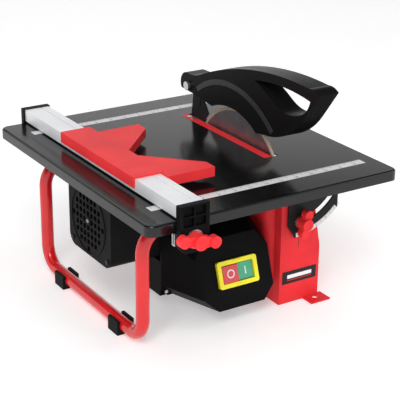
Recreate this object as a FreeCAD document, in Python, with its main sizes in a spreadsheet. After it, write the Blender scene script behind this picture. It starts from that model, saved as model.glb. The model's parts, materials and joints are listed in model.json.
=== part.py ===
"""Electric wet tile cutter with a tilting table, modelled in millimetres.

X runs to the right, Y to the back and Z up. The origin is on the bench, under the middle of the
blade: the blade lies in the plane X = 0 and its arbor in the plane Y = 0.
"""
import FreeCAD, Part
import math
import os

import Sketcher
from FreeCAD import Placement, Rotation, Vector

DRIVING_SIZES = (
    # table
    ("table_width", 320, "table, left to right"),
    ("table_depth", 360, "table, front to back"),
    ("table_left", 227, "blade plane to the left edge of the table"),
    ("table_top", 171, "working surface above the bench"),
    ("table_sheet", 1.5, "thickness of the pressed table"),
    ("table_drop", 12, "height of the folded rim"),
    ("table_corner", 10, "corner radius in plan"),
    ("slot_right", 4.2, "blade plane to the right edge of the slot"),
    ("slot_left", 14.6, "blade plane to the left edge of the slot"),
    ("slot_front", 74, "arbor to the front end of the slot"),
    ("slot_rear", 107, "arbor to the rear end of the slot"),
    ("insert_width", 9.8, "red table insert"),
    ("insert_height", 3, "red table insert"),
    ("insert_lip", 5, "part of the insert under the table"),
    ("rule_length", 278, "printed rule"),
    ("rule_width", 12, "printed rule"),
    ("rule_depth", 0.6, "recess of the rule"),
    ("rule_inset", 36, "edge of the table to the rule"),
    ("rule_margin", 24, "left edge of the table to the rule"),
    # blade and arbor
    ("blade_radius", 90, "diamond disc"),
    ("blade_thick", 2.2, "diamond disc"),
    ("blade_bore", 22.2, "diamond disc"),
    ("arbor_drop", 56, "table top to the arbor"),
    ("shaft_radius", 6, "motor shaft"),
    ("clamp_flange_radius", 24, "blade flanges"),
    ("clamp_flange_thick", 4.5, "blade flanges"),
    ("arbor_nut_flats", 19, "across flats"),
    # base
    ("column_span", 218, "outer face to outer face of the two columns"),
    ("column_left", 13.5, "blade plane to the left side of the columns"),
    ("column_right", 42.5, "blade plane to the right side of the columns"),
    ("column_top", 152, "top of the columns"),
    ("column_sheet", 2, "thickness of the column steel"),
    ("column_return", 10.5, "depth of the folded sides"),
    ("ear_reach", 85, "blade plane to the end of the column's ear"),
    ("ear_height", 24, "ear that carries the stand"),
    ("tab_reach", 18, "foot tab"),
    ("tab_width", 27, "foot tab"),
    ("tab_hole", 7, "foot tab"),
    ("pan_height", 27, "low side walls"),
    ("tank_left", 24.5, "blade plane to the tank's left wall"),
    ("tank_right", 38, "blade plane to the tank's right wall"),
    ("tank_span", 194, "tank, front to back"),
    ("tank_top", 118, "rim of the tank"),
    ("tank_wall", 1.5, "thickness of the tank"),
    ("tank_corner", 12, "corner radius of the tank"),
    # stand
    ("tube_radius", 7.5, "stand tube, outside"),
    ("tube_wall", 1.5, "stand tube"),
    ("stand_reach", 198.5, "blade plane to the legs"),
    ("arm_height", 140, "height of the arms"),
    ("arm_end", 55, "blade plane to the arms' ends"),
    ("arm_bend", 30, "bend between arm and leg"),
    ("foot_bend", 25, "bend between leg and foot bar"),
    ("clip_length", 22, "foot clip, along the bar"),
    ("clip_floor", 3, "foot clip, under the bar"),
    ("clip_wall", 3, "foot clip, beside the bar"),
    ("clip_offset", 67, "arbor plane to the foot clips"),
    # motor
    ("motor_end", 202, "blade plane to the motor's outer end"),
    ("motor_seam", 162, "blade plane to the joint of the fan cover"),
    ("motor_inner_end", 27, "blade plane to the mounting plate's left face"),
    ("motor_front", 53, "arbor to the front of the motor casing"),
    ("motor_rear", 47, "arbor to the rear of the motor casing"),
    ("motor_below", 49, "arbor to the underside of the motor casing"),
    ("motor_above", 42, "arbor to the top of the motor casing"),
    ("motor_corner", 14, "corner radius of the motor casing"),
    ("motor_wall", 3, "wall of the motor casing"),
    ("grille_radius", 38.5, "air grille"),
    ("grille_drop", 7, "arbor to the middle of the grille"),
    ("grille_pitch", 8.6, "air grille"),
    ("grille_hole", 5.8, "air grille"),
    ("stator_radius", 37, "laminations"),
    ("stator_length", 52, "laminations"),
    ("rotor_radius", 22.5, "laminations"),
    ("air_gap", 0.5, "rotor to stator"),
    ("fan_radius", 31, "cooling fan"),
    ("fan_width", 16, "cooling fan"),
    ("bearing_radius", 16, "ball bearings"),
    ("bearing_width", 10, "ball bearings"),
    # switch box
    ("box_left", 140, "blade plane to the left of the switch box"),
    ("box_right", 28, "blade plane to the right of the switch box"),
    ("box_bottom", 21, "underside of the switch box"),
    ("box_top", 118, "top of the switch box at its back"),
    ("box_back", 56, "arbor to the back of the switch box cover"),
    ("box_front", 101, "arbor to the upper edge of the front face"),
    ("box_face_height", 85, "height at which box_front is taken"),
    ("box_slant", 18.5, "backward lean of the front face, degrees"),
    ("box_chamfer", 15, "corners of the switch box"),
    ("box_side_taper", 0.32, "inward run of the left side per unit of depth"),
    ("box_top_taper", 0.49, "downward run of the top per unit of depth"),
    ("box_wall", 2.5, "wall of the switch box"),
    ("panel_chamfer", 8, "corners of the back panel, less cut than the cover's"),
    ("cover_screw_radius", 2.1, "heads of the cover's screws"),
    ("cover_screw_height", 2, "heads of the cover's screws"),
    ("window_rim", 6, "back panel left below and above the window"),
    ("gland_left", 100, "arbor plane to the cable gland"),
    ("gland_rise", 42, "bench to the cable gland and the capacitor"),
    ("gland_radius", 5.9, "neck of the cable gland"),
    ("gland_play", 0.1, "neck of the gland to its hole"),
    ("gland_bore", 3.6, "bore of the cable gland"),
    ("gland_collar", 5, "thickness of the gland's collar"),
    ("gland_flats", 17, "across the flats of the gland's collar"),
    ("gland_nose", 9, "length of the gland's nose"),
    ("gland_nose_radius", 6.5, "outside of the gland's nose"),
    ("capacitor_length", 60, "run capacitor"),
    ("capacitor_radius", 14, "run capacitor"),
    ("capacitor_left", 118, "arbor plane to the capacitor's left end"),
    ("capacitor_front", 30, "arbor line to the capacitor's axis"),
    ("switch_body_depth", 30, "switch behind the slanting face"),
    ("terminal_depth", 50, "terminal box under the motor"),
    ("terminal_top", 64, "terminal box under the motor"),
    ("switch_width", 52, "yellow switch frame"),
    ("switch_height", 31, "yellow switch frame"),
    ("switch_depth", 4, "yellow switch frame"),
    ("switch_rim", 5, "yellow switch frame"),
    ("switch_middle", 74, "blade plane to the middle of the switch"),
    ("button_gap", 0.5, "button to frame and button to button"),
    ("button_depth", 12, "switch buttons"),
    ("button_travel", 2.5, "switch buttons"),
    # tilt brackets
    ("tilt_limit", 45, "largest tilt, degrees"),
    ("bolt_circle", 70, "tilt axis to the clamping bolt"),
    ("bolt_angle", 81, "clamping bolt, degrees below the horizontal"),
    ("bolt_radius", 3, "clamping bolt"),
    ("bracket_radius", 88, "tilt axis to the bracket's curved edge"),
    ("bracket_left", 6, "blade plane to the left edge of the bracket"),
    ("bracket_right", 63, "blade plane to the right edge of the bracket"),
    ("bracket_sheet", 2, "thickness of the bracket"),
    ("bracket_gap", 1.5, "column to bracket"),
    ("bracket_fold", 18, "fold under the table"),
    ("tilt_rule_width", 5, "tilt scale"),
    # fence
    ("fence_left", 193, "blade plane to the left side of the fence"),
    ("fence_width", 31, "fence"),
    ("fence_rise", 2, "table to the underside of the fence"),
    ("fence_height", 14, "fence"),
    ("fence_wall", 2, "fence"),
    ("fence_length", 358, "fence"),
    ("clamp_width", 35, "fence clamp"),
    ("clamp_thick", 6, "fence clamp, front to back"),
    ("clamp_bottom", 136, "underside of the fence clamp"),
    ("clamp_knob_height", 151, "height of the clamp screws"),
    ("hook_sheet", 1.5, "clamp hook"),
    ("hook_width", 40, "clamp hook"),
    # angle guide
    ("guide_wall", 2, "saddle of the angle guide"),
    ("guide_front", 93, "arbor to the front of the saddle"),
    ("guide_rear", 77, "arbor to the rear of the saddle"),
    ("guide_middle", 24, "arbor to the middle of the V, forwards"),
    ("guide_reach", 103, "blade plane to the tips of the guide"),
    ("guide_half_span", 83, "middle of the V to the outer edges"),
    ("guide_tip", 17.5, "width of each tip"),
    ("guide_root", 10.5, "middle of the V to the end of its slope"),
    ("guide_thick", 11, "wings of the angle guide"),
    # guard and riving knife
    ("knife_thick", 2, "riving knife"),
    ("knife_gap", 4, "blade to riving knife"),
    ("knife_rear", 105, "arbor to the back of the riving knife"),
    ("knife_bottom", 120, "lower end of the riving knife"),
    ("guard_width", 26, "blade guard"),
    ("guard_wall", 2.5, "blade guard"),
    ("guard_pivot_back", 93, "arbor to the guard's bolt"),
    ("guard_pivot_rise", 42, "table top to the guard's bolt"),
    ("guard_bolt_radius", 3, "guard bolt"),
    # fits
    ("running_gap", 0.3, "between parts that slide on each other"),
    ("bolt_gap", 0.4, "bolt to hole"),
    ("shaft_fit", 0.02, "bearing on shaft"),
)

doc = FreeCAD.newDocument("TileCutter")
sheet = doc.addObject("Spreadsheet::Sheet", "Sizes")
for row, (alias, value, note) in enumerate(DRIVING_SIZES, start=1):
    sheet.set(f"A{row}", alias)
    sheet.set(f"B{row}", str(value))
    sheet.set(f"C{row}", note)
    sheet.setAlias(f"B{row}", alias)
doc.recompute()


class Size:
    """A length that knows its value and the spreadsheet expression it comes from."""

    def __init__(self, value, text):
        self.value = float(value)
        self.text = text

    def joined(self, other, sign, value):
        return Size(value, f"({self.text} {sign} {size(other).text})")

    def __add__(self, other):
        return self.joined(other, "+", self.value + size(other).value)

    def __sub__(self, other):
        return self.joined(other, "-", self.value - size(other).value)

    def __mul__(self, other):
        return self.joined(other, "*", self.value * size(other).value)

    def __truediv__(self, other):
        return self.joined(other, "/", self.value / size(other).value)

    def __radd__(self, other):
        return size(other) + self

    def __rsub__(self, other):
        return size(other) - self

    def __rmul__(self, other):
        return size(other) * self

    def __neg__(self):
        return size(0) - self

    def __float__(self):
        return self.value


def size(item):
    """Any number as a Size."""
    return item if isinstance(item, Size) else Size(item, repr(float(item)))


def cosine(angle):
    return Size(math.cos(math.radians(float(angle))), f"cos({size(angle).text} * 1 deg)")


def sine(angle):
    return Size(math.sin(math.radians(float(angle))), f"sin({size(angle).text} * 1 deg)")


def root(square):
    return Size(math.sqrt(float(square)), f"sqrt({square.text})")


def larger(one, other):
    return Size(max(float(one), float(other)), f"max({size(one).text}; {size(other).text})")


def smaller(one, other):
    return Size(min(float(one), float(other)), f"min({size(one).text}; {size(other).text})")


class Sheet:
    """The driving sizes, by name."""


s = Sheet()
for alias, value, note in DRIVING_SIZES:
    setattr(s, alias, Size(sheet.get(alias), f"Sizes.{alias}"))

# Places that several parts share.
ARBOR_Z = s.table_top - s.arbor_drop
TABLE_UNDER = s.table_top - s.table_sheet
TABLE_RIGHT = s.table_width - s.table_left
COLUMN_FACE = s.column_span / 2
BRACKET_BACK = COLUMN_FACE + s.bracket_gap
BOLT_X = s.bolt_circle * cosine(s.bolt_angle)
BOLT_Z = s.table_top - s.bolt_circle * sine(s.bolt_angle)
LEG_Y = COLUMN_FACE + s.tube_radius
BAR_Z = s.clip_floor + s.tube_radius
FENCE_BOTTOM = s.table_top + s.fence_rise
FENCE_TOP = FENCE_BOTTOM + s.fence_height
FENCE_RIGHT = s.fence_left - s.fence_width
FENCE_MIDDLE = s.fence_left - s.fence_width / 2
FENCE_END = s.fence_length / 2
PIVOT_Z = s.table_top + s.guard_pivot_rise

parts = {}


def keep(node, item):
    """Register a finished sub-part under its node name."""
    item.Label = node
    parts[node] = item
    return item


def bind(item, prop, amount):
    """Set a property from a Size, through the spreadsheet."""
    item.setExpression(prop, size(amount).text)


def place(item, corner, rotation=None):
    """Put an item at a corner given as three Sizes, with an optional fixed rotation."""
    item.Placement = Placement(Vector(*map(float, corner)), rotation or Rotation())
    for axis, amount in zip("xyz", corner):
        bind(item, f"Placement.Base.{axis}", amount)
    return item


def box(start, end):
    """A box between two corners given in Sizes."""
    item = doc.addObject("Part::Box", "Box")
    for prop, low, high in zip(("Length", "Width", "Height"), start, end):
        bind(item, prop, size(high) - low)
    return place(item, start)


AXES = {
    "X": Rotation(Vector(0, 1, 0), Vector(0, 0, 1), Vector(1, 0, 0)),
    "Y": Rotation(Vector(0, 0, 1), Vector(1, 0, 0), Vector(0, 1, 0)),
    "Z": Rotation(),
}


def rod(axis, start, length, radius):
    """A cylinder that starts at a point and runs along +X, +Y or +Z."""
    item = doc.addObject("Part::Cylinder", "Cylinder")
    bind(item, "Radius", radius)
    bind(item, "Height", length)
    return place(item, start, AXES[axis])


def fuse(*items):
    """One item from several."""
    if len(items) == 1:
        return items[0]
    item = doc.addObject("Part::MultiFuse", "Fusion")
    item.Shapes = list(items)
    item.Refine = True
    return item


def cut(base, *tools):
    """The base with the tools taken out of it."""
    item = doc.addObject("Part::Cut", "Cut")
    item.Base = base
    item.Tool = fuse(*tools)
    item.Refine = True
    return item


def common(first, second):
    """What two items share."""
    item = doc.addObject("Part::MultiCommon", "Common")
    item.Shapes = [first, second]
    return item


def group(*items):
    """Separate solids that share one node."""
    item = doc.addObject("Part::Compound", "Group")
    item.Links = list(items)
    return item


def ring(axis, start, length, outer, inner):
    """A cylinder with a bore right through it."""
    return cut(rod(axis, start, length, outer), rod(axis, start, length, inner))


def rounded(item, radius, wanted):
    """Fillet the edges that a test picks out."""
    doc.recompute()
    edges = [number for number, edge in enumerate(item.Shape.Edges, start=1) if wanted(edge)]
    fillet = doc.addObject("Part::Fillet", "Fillet")
    fillet.Base = item
    fillet.Edges = [(number, float(radius), float(radius)) for number in edges]
    return fillet


def along(axis):
    """A test for straight edges that run along an axis."""
    def wanted(edge):
        if not isinstance(edge.Curve, Part.Line):
            return False
        return abs(getattr(edge.tangentAt(edge.FirstParameter), axis.lower())) > 0.999
    return wanted


def at_height(level):
    """A test for edges that lie in a horizontal plane."""
    def wanted(edge):
        box_of_edge = edge.BoundBox
        return abs(box_of_edge.ZMin - float(level)) < 0.001 and abs(box_of_edge.ZMax - float(level)) < 0.001
    return wanted


def mirrored_in_y(item):
    """A copy mirrored from front to back."""
    mirror = doc.addObject("Part::Mirroring", "Mirror")
    mirror.Source = item
    mirror.Normal = Vector(0, 1, 0)
    return mirror


def solid_feature(shape, placement=None):
    """A computed shape as a document object."""
    if len(shape.Solids) != 1:
        raise ValueError("A moulding is one solid.")
    item = doc.addObject("Part::Feature", "Moulding")
    item.Shape = shape.Solids[0]
    if placement is not None:
        item.Placement = placement
    return item


def new_sketch(body, plane, offset):
    """A sketch on one of the body's origin planes, moved along its normal."""
    sketch = body.newObject("Sketcher::SketchObject", "Sketch")
    support = next(item for item in body.Origin.OriginFeatures if item.Role == plane)
    sketch.AttachmentSupport = [(support, "")]
    sketch.MapMode = "FlatFace"
    bind(sketch, "AttachmentOffset.Base.z", offset)
    return sketch


def fix_point(sketch, geometry, point, across, up):
    """Tie one point of a sketch to the spreadsheet."""
    for kind, amount in (("DistanceX", across), ("DistanceY", up)):
        amount = size(amount)
        index = sketch.addConstraint(
            Sketcher.Constraint(kind, -1, 1, geometry, point, amount.value))
        sketch.setExpression(f"Constraints[{index}]", amount.text)


def draw_polygon(sketch, corners):
    """A closed outline whose corners are tied to the spreadsheet."""
    vectors = [Vector(float(across), float(up), 0) for across, up in corners]
    first = sketch.GeometryCount
    for start, end in zip(vectors, vectors[1:] + vectors[:1]):
        sketch.addGeometry(Part.LineSegment(start, end))
    count = len(corners)
    for number in range(count):
        following = first + (number + 1) % count
        sketch.addConstraint(Sketcher.Constraint("Coincident", first + number, 2, following, 1))
    for number, (across, up) in enumerate(corners):
        fix_point(sketch, first + number, 1, across, up)


def draw_circle(sketch, across, up, radius):
    """A circle tied to the spreadsheet."""
    radius = size(radius)
    centre = Vector(float(across), float(up), 0)
    number = sketch.addGeometry(Part.Circle(centre, Vector(0, 0, 1), radius.value))
    fix_point(sketch, number, 3, across, up)
    index = sketch.addConstraint(Sketcher.Constraint("Radius", number, radius.value))
    sketch.setExpression(f"Constraints[{index}]", radius.text)


def plate(plane, offset, thickness, corners, holes=()):
    """A flat part: a polygon padded along the plane's normal, with round holes through it."""
    body = doc.addObject("PartDesign::Body", "Body")
    sketch = new_sketch(body, plane, offset)
    draw_polygon(sketch, corners)
    for across, up, radius in holes:
        draw_circle(sketch, across, up, radius)
    pad = body.newObject("PartDesign::Pad", "Pad")
    pad.Profile = sketch
    bind(pad, "Length", thickness)
    sketch.Visibility = False
    return body


def hexagon(axis, middle, length, flats):
    """A hexagonal prism that runs along X or Y from a middle point."""
    item = doc.addObject("Part::Prism", "Hexagon")
    item.Polygon = 6
    bind(item, "Circumradius", size(flats) / math.sqrt(3))
    bind(item, "Height", length)
    return place(item, middle, AXES[axis])


def sector_slot(radius, width, start_angle, sweep, back, depth):
    """A curved slot about the tilt axis, cut from the front towards the back."""
    start = math.radians(-float(start_angle))
    turn = Rotation(Vector(math.cos(start), 0, math.sin(start)),
                    Vector(-math.sin(start), 0, math.cos(start)), Vector(0, -1, 0))
    sectors = []
    for reach in (radius + width / 2, radius - width / 2):
        sector = doc.addObject("Part::Cylinder", "Sector")
        bind(sector, "Radius", reach)
        bind(sector, "Height", depth)
        bind(sector, "Angle", sweep)
        sectors.append(place(sector, (0, back, s.table_top), turn))
    ends = []
    for angle in (start_angle, start_angle - sweep):
        middle = (radius * cosine(angle), size(back) - depth, s.table_top - radius * sine(angle))
        ends.append(rod("Y", middle, depth, width / 2))
    return fuse(cut(*sectors), *ends)


# --- base ------------------------------------------------------------------------------------

def front_column():
    """Folded sheet upright with an ear for the stand, a clamping bolt hole and a foot tab."""
    face, inner = -COLUMN_FACE, s.column_sheet - COLUMN_FACE
    ear_bottom = s.column_top - s.ear_height
    lean = s.column_top * 0.42
    shoulder = s.column_top * 0.8
    corners = (
        (-s.column_left, 0), (s.column_right, 0), (s.column_right, lean),
        (s.column_right - s.column_return, shoulder), (s.column_left, s.column_top),
        (-s.ear_reach, s.column_top), (-s.ear_reach, ear_bottom), (-s.column_left, ear_bottom),
    )
    holes = [(BOLT_X, BOLT_Z, s.bolt_radius + s.bolt_gap)]
    holes += [(-x, s.arm_height, s.bolt_radius + s.bolt_gap) for x in stand_bolt_places()]
    front = plate("XZ_Plane", -inner, s.column_sheet, corners, holes)
    left = box((-s.column_left, inner, 0),
               (s.column_sheet - s.column_left, inner + s.column_return - s.column_sheet, ear_bottom))
    right = box((s.column_right - s.column_sheet, inner, 0),
                (s.column_right, inner + s.column_return - s.column_sheet, lean))
    tab_right = s.column_right + s.tab_width / 5
    tab = cut(box((tab_right - s.tab_width, face - s.tab_reach, 0), (tab_right, inner, s.column_sheet)),
              rod("Z", (tab_right - s.tab_width / 2, face - s.tab_reach / 3, 0), s.column_sheet,
                  s.tab_hole / 2))
    return fuse(front, left, right, tab)


def stand_bolt_places():
    """Distances of the stand bolts from the blade plane."""
    spare = s.ear_reach - s.arm_end
    return s.arm_end + spare * 0.3, s.arm_end + spare * 0.75


def base_pan():
    """Shallow channel that ties the two columns together under the tank."""
    half = COLUMN_FACE - s.column_sheet
    wall_end = COLUMN_FACE - s.column_return
    floor = box((s.column_sheet - s.column_left, -half, 0),
                (s.column_right - s.column_sheet, half, s.tank_wall))
    left = box((-s.column_left, -wall_end, 0),
               (s.column_sheet - s.column_left, wall_end, s.pan_height))
    right = box((s.column_right - s.column_sheet, -wall_end, 0),
                (s.column_right, wall_end, s.pan_height))
    return fuse(floor, left, right)


def water_tank():
    """Deep tank round the lower half of the blade, with a sump between the pan's walls."""
    half, wall = s.tank_span / 2, s.tank_wall
    sump_left = s.column_sheet - s.column_left + s.running_gap
    sump_right = s.column_right - s.column_sheet - s.running_gap
    sump_half = half - s.tank_corner / 2

    def shell(grow, floor_z, sump_z):
        upper = rounded(box((-s.tank_left + grow, -half + grow, floor_z),
                            (s.tank_right - grow, half - grow, s.tank_top)),
                        s.tank_corner - grow, along("Z"))
        lower = box((sump_left + grow, -sump_half + grow, sump_z),
                    (sump_right - grow - s.column_sheet, sump_half - grow, floor_z + wall))
        return fuse(upper, lower)

    outside = shell(size(0), s.pan_height, s.tank_wall)
    inside = shell(wall, s.pan_height + wall, s.tank_wall * 2)
    notch_half = s.clamp_flange_radius
    notch = fuse(box((-s.tank_left, -notch_half, ARBOR_Z), (wall - s.tank_left, notch_half, s.tank_top)),
                 rod("X", (-s.tank_left, 0, ARBOR_Z), wall, notch_half))
    return cut(outside, inside, notch)


def motor_plate():
    """Steel plate that carries the motor, between the ears of the two columns."""
    half = COLUMN_FACE - s.column_sheet
    arm_low, arm_high = s.column_top - s.ear_height, s.column_top
    low = ARBOR_Z - s.motor_below
    corners = (
        (-s.motor_front, low), (s.motor_rear, low), (s.motor_rear, arm_low), (half, arm_low),
        (half, arm_high), (-half, arm_high), (-half, arm_low), (-s.motor_front, arm_low),
    )
    return plate("YZ_Plane", -s.motor_inner_end, s.column_sheet, corners,
                 [(0, ARBOR_Z, s.bearing_radius)])


def name_plate():
    """Plain plate on the front column."""
    margin = s.column_sheet * 2
    low = s.pan_height - s.column_sheet
    return box((margin - s.column_left, -COLUMN_FACE - 0.4, low),
               (s.column_right - margin, -COLUMN_FACE, low + 15.5))


def tube(points, bends, radius):
    """A round bar along straight runs that are joined by arcs."""
    edges, start = [], points[0]
    for before, corner, after, bend in zip(points, points[1:], points[2:], bends):
        way_in, way_out = (corner - before).normalize(), (after - corner).normalize()
        first, last = corner - way_in * bend, corner + way_out * bend
        centre = first + way_out * bend
        middle = centre + (corner - centre).normalize() * bend
        edges += [Part.LineSegment(start, first).toShape(), Part.Arc(first, middle, last).toShape()]
        start = last
    edges.append(Part.LineSegment(start, points[-1]).toShape())
    heading = (points[1] - points[0]).normalize()
    profile = Part.Wire(Part.Circle(points[0], heading, radius).toShape())
    return Part.Wire(edges).makePipeShell([profile], True, False)


def stand_tube():
    """One bent tube: two arms, two legs and the foot bar between them."""
    end, reach = -float(s.arm_end), -float(s.stand_reach)
    side, high, low = float(LEG_Y), float(s.arm_height), float(BAR_Z)
    points = [Vector(end, -side, high), Vector(reach, -side, high), Vector(reach, -side, low),
              Vector(reach, side, low), Vector(reach, side, high), Vector(end, side, high)]
    bends = [float(s.arm_bend), float(s.foot_bend), float(s.foot_bend), float(s.arm_bend)]
    outer = tube(points, bends, float(s.tube_radius))
    inner = tube(points, bends, float(s.tube_radius - s.tube_wall))
    shape = outer.cut(inner)
    for x in stand_bolt_places():
        start = Vector(-float(x), -side - float(s.tube_radius) - 1, high)
        length = 2 * side + 2 * float(s.tube_radius) + 2
        shape = shape.cut(Part.makeCylinder(float(s.bolt_radius + s.bolt_gap), length, start,
                                            Vector(0, 1, 0)))
    return solid_feature(shape)


def foot_clip(middle):
    """Plastic saddle pressed over the foot bar from below."""
    half = s.tube_radius + s.clip_wall
    start = middle - s.clip_length / 2
    block = box((-s.stand_reach - half, start, 0),
                (half - s.stand_reach, start + s.clip_length, BAR_Z + s.tube_radius * 0.8))
    seat_radius = s.tube_radius + s.shaft_fit
    seat = rod("Y", (-s.stand_reach, start, BAR_Z), s.clip_length, seat_radius)
    mouth_half = seat_radius * 0.9
    mouth = box((-s.stand_reach - mouth_half, start, BAR_Z),
                (mouth_half - s.stand_reach, start + s.clip_length, BAR_Z + s.tube_radius))
    return cut(block, seat, mouth)


def stand_bolts():
    """Bolts and nuts that hold the stand's arms to the ears of the columns."""
    bolts = []
    for x in stand_bolt_places():
        front_face = LEG_Y + s.tube_radius
        inner_face = COLUMN_FACE - s.column_sheet
        head = hexagon("Y", (-x, -front_face - 4, s.arm_height), 4, 10)
        stem = rod("Y", (-x, -front_face, s.arm_height), s.tube_radius * 2 + s.column_sheet,
                   s.bolt_radius)
        nut = hexagon("Y", (-x, -inner_face, s.arm_height), 5, 10)
        bolt = fuse(head, stem, nut)
        bolts += [bolt, mirrored_in_y(bolt)]
    return group(*bolts)


keep("front_column", front_column())
keep("rear_column", mirrored_in_y(parts["front_column"]))
keep("base_pan", base_pan())
keep("water_tank", water_tank())
keep("motor_plate", motor_plate())
keep("name_plate", name_plate())
keep("stand_tube", stand_tube())
keep("front_foot_clip", foot_clip(-s.clip_offset))
keep("rear_foot_clip", foot_clip(s.clip_offset))
keep("stand_bolts", stand_bolts())


# --- motor -----------------------------------------------------------------------------------

def motor_block(left, right, inset):
    """The casing's rounded rectangle between two distances from the blade plane."""
    block = box((-left, inset - s.motor_front, ARBOR_Z - s.motor_below + inset),
                (-right, s.motor_rear - inset, ARBOR_Z + s.motor_above - inset))
    return rounded(block, s.motor_corner - inset, along("X"))


def motor_casing():
    """Main casing with the seat of the front bearing in its end wall."""
    inner = s.motor_inner_end
    wall = s.motor_wall
    shell = cut(motor_block(s.motor_seam, inner, size(0)),
                motor_block(s.motor_seam, inner + wall, wall))
    seat_outer = s.bearing_radius + wall
    seat = rod("X", (-inner - wall - s.bearing_width, 0, ARBOR_Z), s.bearing_width, seat_outer)
    bore = rod("X", (-inner - wall - s.bearing_width, 0, ARBOR_Z), s.bearing_width,
               s.bearing_radius + s.shaft_fit)
    way_out = rod("X", (-inner - wall, 0, ARBOR_Z), wall, s.bearing_radius - wall)
    return cut(fuse(shell, seat), bore, way_out)


def rear_end_shield():
    """Disc inside the casing that holds the rear bearing."""
    wall = s.motor_wall
    disc = common(motor_block(s.motor_seam, s.motor_seam - wall, wall + s.shaft_fit),
                  rod("X", (-s.motor_seam, 0, ARBOR_Z), wall, s.motor_front * 2))
    seat = rod("X", (-s.motor_seam, 0, ARBOR_Z), s.bearing_width + wall, s.bearing_radius + wall)
    bore = rod("X", (wall - s.motor_seam, 0, ARBOR_Z), s.bearing_width,
               s.bearing_radius + s.shaft_fit)
    way_out = rod("X", (-s.motor_seam, 0, ARBOR_Z), wall, s.bearing_radius - wall)
    return cut(fuse(disc, seat), bore, way_out)


def fan_cover():
    """End cover with a round grille of square holes."""
    wall = s.motor_wall
    shell = cut(motor_block(s.motor_end, s.motor_seam, size(0)),
                motor_block(s.motor_end - wall, s.motor_seam, wall))
    middle_z = ARBOR_Z - s.grille_drop
    reach = int(float(s.grille_radius) // float(s.grille_pitch))
    limit = float(s.grille_radius) - float(s.grille_hole) * 0.6
    holes = []
    for column in range(-reach, reach + 1):
        for line in range(-reach, reach + 1):
            if math.hypot(column, line) * float(s.grille_pitch) > limit:
                continue
            y = s.grille_pitch * column - s.grille_hole / 2
            z = middle_z + s.grille_pitch * line - s.grille_hole / 2
            holes.append(box((-s.motor_end, y, z),
                             (wall - s.motor_end, y + s.grille_hole, z + s.grille_hole)))
    rim = ring("X", (-s.motor_end, 0, middle_z), wall / 3, s.grille_radius + 1, s.grille_radius)
    return cut(shell, rim, *holes)


def shaft():
    """Motor shaft that ends in the blade's arbor."""
    rear_end = s.motor_seam + s.fan_width + 8
    body = rod("X", (-rear_end, 0, ARBOR_Z), rear_end + 16, s.shaft_radius)
    return body


def bearing(left):
    """Plain ring for a sealed ball bearing."""
    return ring("X", (-left, 0, ARBOR_Z), s.bearing_width, s.bearing_radius,
                s.shaft_radius + s.shaft_fit)


STATOR_LEFT = s.motor_seam - 30


def stator_core():
    return ring("X", (-STATOR_LEFT, 0, ARBOR_Z), s.stator_length, s.stator_radius,
                s.rotor_radius + s.air_gap)


def stator_windings():
    """The two rings of end turns, one at each end of the laminations."""
    thick = 9
    rings = []
    for left in (STATOR_LEFT + thick, STATOR_LEFT - s.stator_length):
        rings.append(ring("X", (-left, 0, ARBOR_Z), thick, s.stator_radius - 3, s.rotor_radius + 2))
    return group(*rings)


def rotor_core():
    return ring("X", (-STATOR_LEFT, 0, ARBOR_Z), s.stator_length, s.rotor_radius, s.shaft_radius)


def cooling_fan():
    """Hub, disc and radial blades."""
    left = s.motor_seam + s.fan_width + 5
    hub = rod("X", (-left, 0, ARBOR_Z), s.fan_width, s.shaft_radius * 1.7)
    disc = rod("X", (s.fan_width - left - 2, 0, ARBOR_Z), 2, s.fan_radius)
    blades = []
    for number in range(8):
        blade = box((-left, -1, 0), (s.fan_width - left, 1, s.fan_radius))
        blade.Placement = Placement(Vector(-float(left), 0, float(ARBOR_Z)),
                                    Rotation(Vector(1, 0, 0), 45 * number))
        bind(blade, "Placement.Base.y", 0)
        bind(blade, "Placement.Base.z", ARBOR_Z)
        blades.append(blade)
    bore = rod("X", (-left, 0, ARBOR_Z), s.fan_width, s.shaft_radius)
    return cut(fuse(hub, disc, *blades), bore)


def end_cover_screws():
    """Four pan-head screws in the corners of the fan cover."""
    inset = s.motor_corner * 0.6
    screws = []
    for y in (inset - s.motor_front, s.motor_rear - inset):
        for z in (ARBOR_Z - s.motor_below + inset, ARBOR_Z + s.motor_above - inset):
            screws.append(rod("X", (-s.motor_end - 1.5, y, z), 1.5, 3))
    return group(*screws)


keep("motor_casing", motor_casing())
keep("rear_end_shield", rear_end_shield())
keep("fan_cover", fan_cover())
keep("end_cover_screws", end_cover_screws())
keep("motor_shaft", shaft())
keep("rear_bearing", bearing(s.motor_seam - s.motor_wall))
keep("front_bearing", bearing(s.motor_inner_end + s.motor_wall + s.bearing_width))
keep("stator_core", stator_core())
keep("stator_windings", stator_windings())
keep("rotor_core", rotor_core())
keep("cooling_fan", cooling_fan())


# --- blade -----------------------------------------------------------------------------------

def cutting_blade():
    half = s.blade_thick / 2
    return ring("X", (-half, 0, ARBOR_Z), s.blade_thick, s.blade_radius,
                s.blade_bore / 2 + s.shaft_fit)


def inner_flange():
    """Driving flange with the register that centres the blade."""
    half = s.blade_thick / 2
    start = -half - s.clamp_flange_thick
    disc = rod("X", (start, 0, ARBOR_Z), s.clamp_flange_thick, s.clamp_flange_radius)
    register = rod("X", (-half, 0, ARBOR_Z), s.blade_thick, s.blade_bore / 2)
    bore = rod("X", (start, 0, ARBOR_Z), s.clamp_flange_thick + s.blade_thick, s.shaft_radius)
    return cut(fuse(disc, register), bore)


def outer_flange():
    return ring("X", (s.blade_thick / 2, 0, ARBOR_Z), s.clamp_flange_thick,
                s.clamp_flange_radius, s.shaft_radius)


def arbor_nut():
    start = s.blade_thick / 2 + s.clamp_flange_thick
    return cut(hexagon("X", (start, 0, ARBOR_Z), 7, s.arbor_nut_flats),
               rod("X", (start, 0, ARBOR_Z), 7, s.shaft_radius))


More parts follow.
